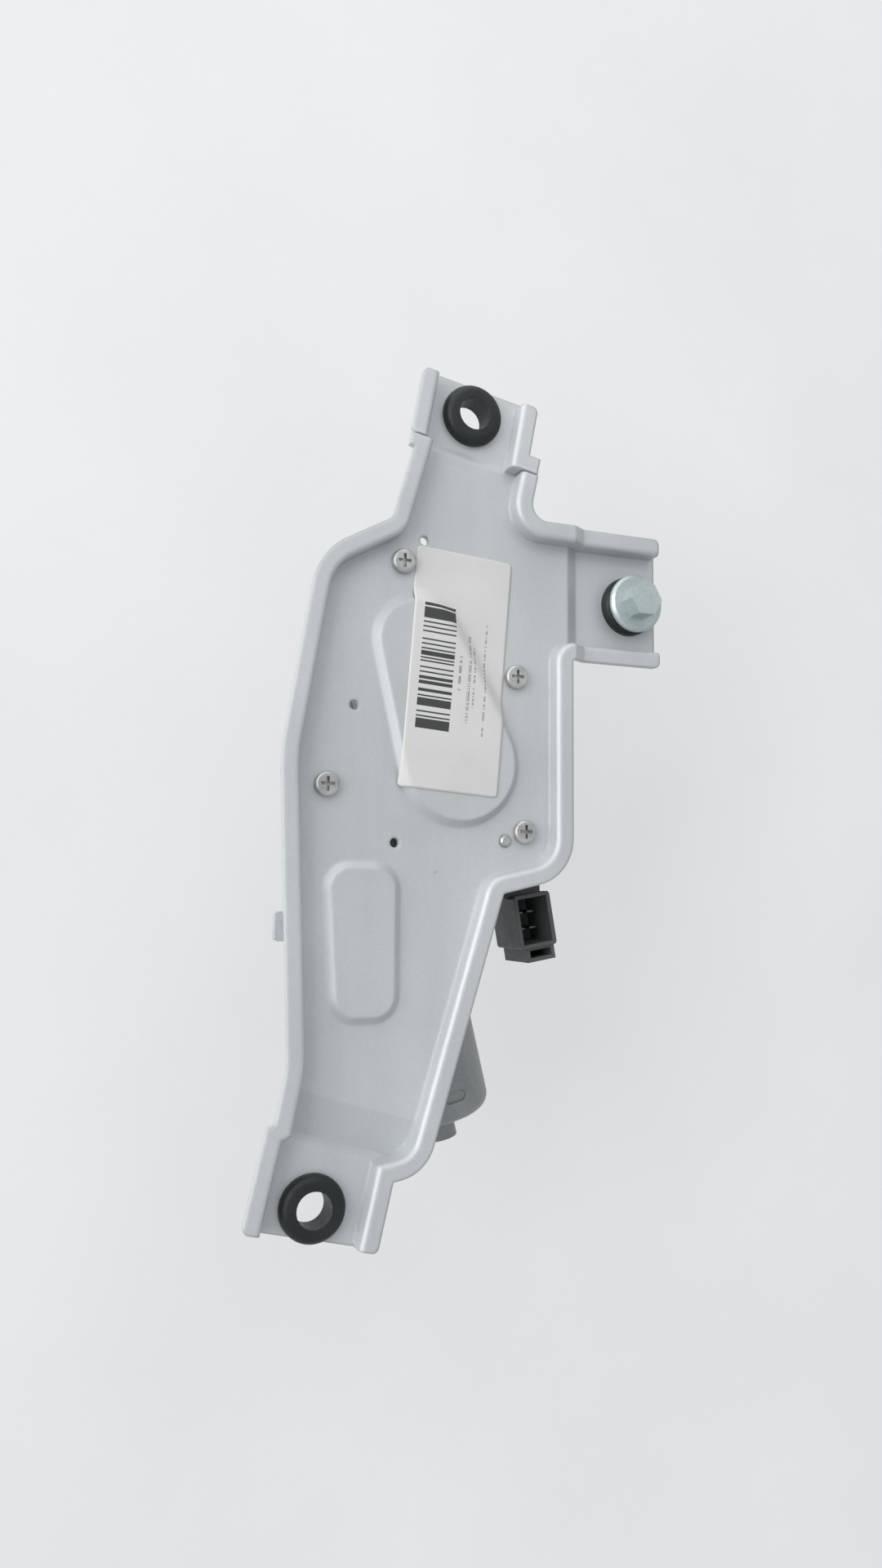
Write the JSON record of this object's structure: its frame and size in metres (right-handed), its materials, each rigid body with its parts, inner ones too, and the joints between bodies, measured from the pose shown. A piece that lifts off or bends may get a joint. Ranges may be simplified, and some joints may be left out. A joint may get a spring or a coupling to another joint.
{
  "type": "windscreen wiper motor",
  "caption": "Rear wiper motor: a worm-geared motor and an oscillating output shaft under a stamped bracket with three rubber mounts and a blade connector.",
  "frame": {"origin": "on the output shaft's axis, where its thread starts", "axes": "+Y along the bracket from the bottom mount to the top mount, +Z from the output shaft's threaded end towards the bracket, +X towards the side mount"},
  "size_m": [0.1408, 0.2728, 0.1002],
  "materials": {
    "bracket_plate": "satin zinc plating",
    "grommet_top": "matt",
    "grommet_side": "matt",
    "grommet_bottom": "matt",
    "side_sleeve": "satin",
    "gear_housing": "as cast",
    "cover_gasket": "matt",
    "cover_screws": "satin zinc plating",
    "locating_pin": "satin",
    "shaft_bushes": "sintered bronze",
    "shaft_seal": "matt",
    "thrust_ring": "matt",
    "wheel_axle": "satin",
    "axle_clip": "satin",
    "contact_plate": "matt",
    "contact_fingers": "satin",
    "front_bearing": "sintered bronze",
    "middle_bearing": "sintered bronze",
    "rear_bearing": "sintered bronze",
    "thrust_ball": "polished",
    "motor_can": "satin",
    "magnets": "matt",
    "can_screws": "satin",
    "brush_holder": "matt",
    "brushes": "matt",
    "brush_springs": "satin",
    "connector_housing": "matt",
    "connector_terminals": "tinned",
    "label": "matt paper",
    "side_clip": "translucent",
    "armature_shaft": "satin",
    "armature_core": "laminated",
    "armature_windings": "enamelled copper",
    "commutator": "copper",
    "worm_wheel": "acetal",
    "crank_disc": "satin",
    "crank_pin": "satin",
    "contact_ring": "satin",
    "output_shaft": "satin",
    "output_lever": "satin",
    "lever_pin": "satin",
    "shaft_washer": "satin",
    "shaft_clip": "satin",
    "connecting_rod": "satin",
    "mounting_bolt": "satin zinc plating"
  },
  "bodies": {
    "frame": {"bracket_plate": "bracket_plate", "grommet_top": "grommet_top", "grommet_side": "grommet_side", "grommet_bottom": "grommet_bottom", "side_sleeve": "side_sleeve", "gear_housing": "gear_housing", "cover_gasket": "cover_gasket", "cover_screws": "cover_screws", "locating_pin": "locating_pin", "shaft_bushes": "shaft_bushes", "shaft_seal": "shaft_seal", "thrust_ring": "thrust_ring", "wheel_axle": "wheel_axle", "axle_clip": "axle_clip", "contact_plate": "contact_plate", "contact_fingers": "contact_fingers", "front_bearing": "front_bearing", "middle_bearing": "middle_bearing", "rear_bearing": "rear_bearing", "thrust_ball": "thrust_ball", "motor_can": "motor_can", "magnets": "magnets", "can_screws": "can_screws", "brush_holder": "brush_holder", "brushes": "brushes", "brush_springs": "brush_springs", "connector_housing": "connector_housing", "connector_terminals": "connector_terminals", "label": "label", "side_clip": "side_clip"},
    "armature": {"armature_shaft": "armature_shaft", "armature_core": "armature_core", "armature_windings": "armature_windings", "commutator": "commutator"},
    "wheel": {"worm_wheel": "worm_wheel", "crank_disc": "crank_disc", "crank_pin": "crank_pin", "contact_ring": "contact_ring"},
    "output": {"output_shaft": "output_shaft", "output_lever": "output_lever", "lever_pin": "lever_pin", "shaft_washer": "shaft_washer", "shaft_clip": "shaft_clip"},
    "rod": {"connecting_rod": "connecting_rod"},
    "bolt": {"mounting_bolt": "mounting_bolt"}
  },
  "joints": [
    {"name": "armature_spin", "type": "hinge", "parent": "frame", "child": "armature", "pos_m": [-0.00988, -0.04382, 0.0515], "axis": [-0.2368, 0.9715, 0], "range_deg": [0, 8888.4]},
    {"name": "wheel_turn", "type": "hinge", "parent": "frame", "child": "wheel", "pos_m": [0.0148, -0.0378, 0.053], "axis": [0, 0, 1], "range_deg": [0, 177.78]},
    {"name": "output_swing", "type": "hinge", "parent": "frame", "child": "output", "pos_m": [0, 0, 0.053], "axis": [0, 0, 1], "range_deg": [0, 99.87]},
    {"name": "rod_swing", "type": "hinge", "parent": "output", "child": "rod", "pos_m": [-0.0102, 0.00249, 0.0678], "axis": [0, 0, 1], "range_deg": [-102.1, 0]},
    {"name": "bolt_turn", "type": "hinge", "parent": "frame", "child": "bolt", "pos_m": [0.0779, 0.0191, 0.073], "axis": [0, 0, 1], "continuous": true}
  ],
  "couplings": [
    {"joint": "wheel_turn", "follows": "armature_spin", "ratio": 0.02},
    {"joint": "output_swing", "follows": "armature_spin", "ratio": 0.011235},
    {"joint": "rod_swing", "follows": "armature_spin", "ratio": -0.011486}
  ]
}
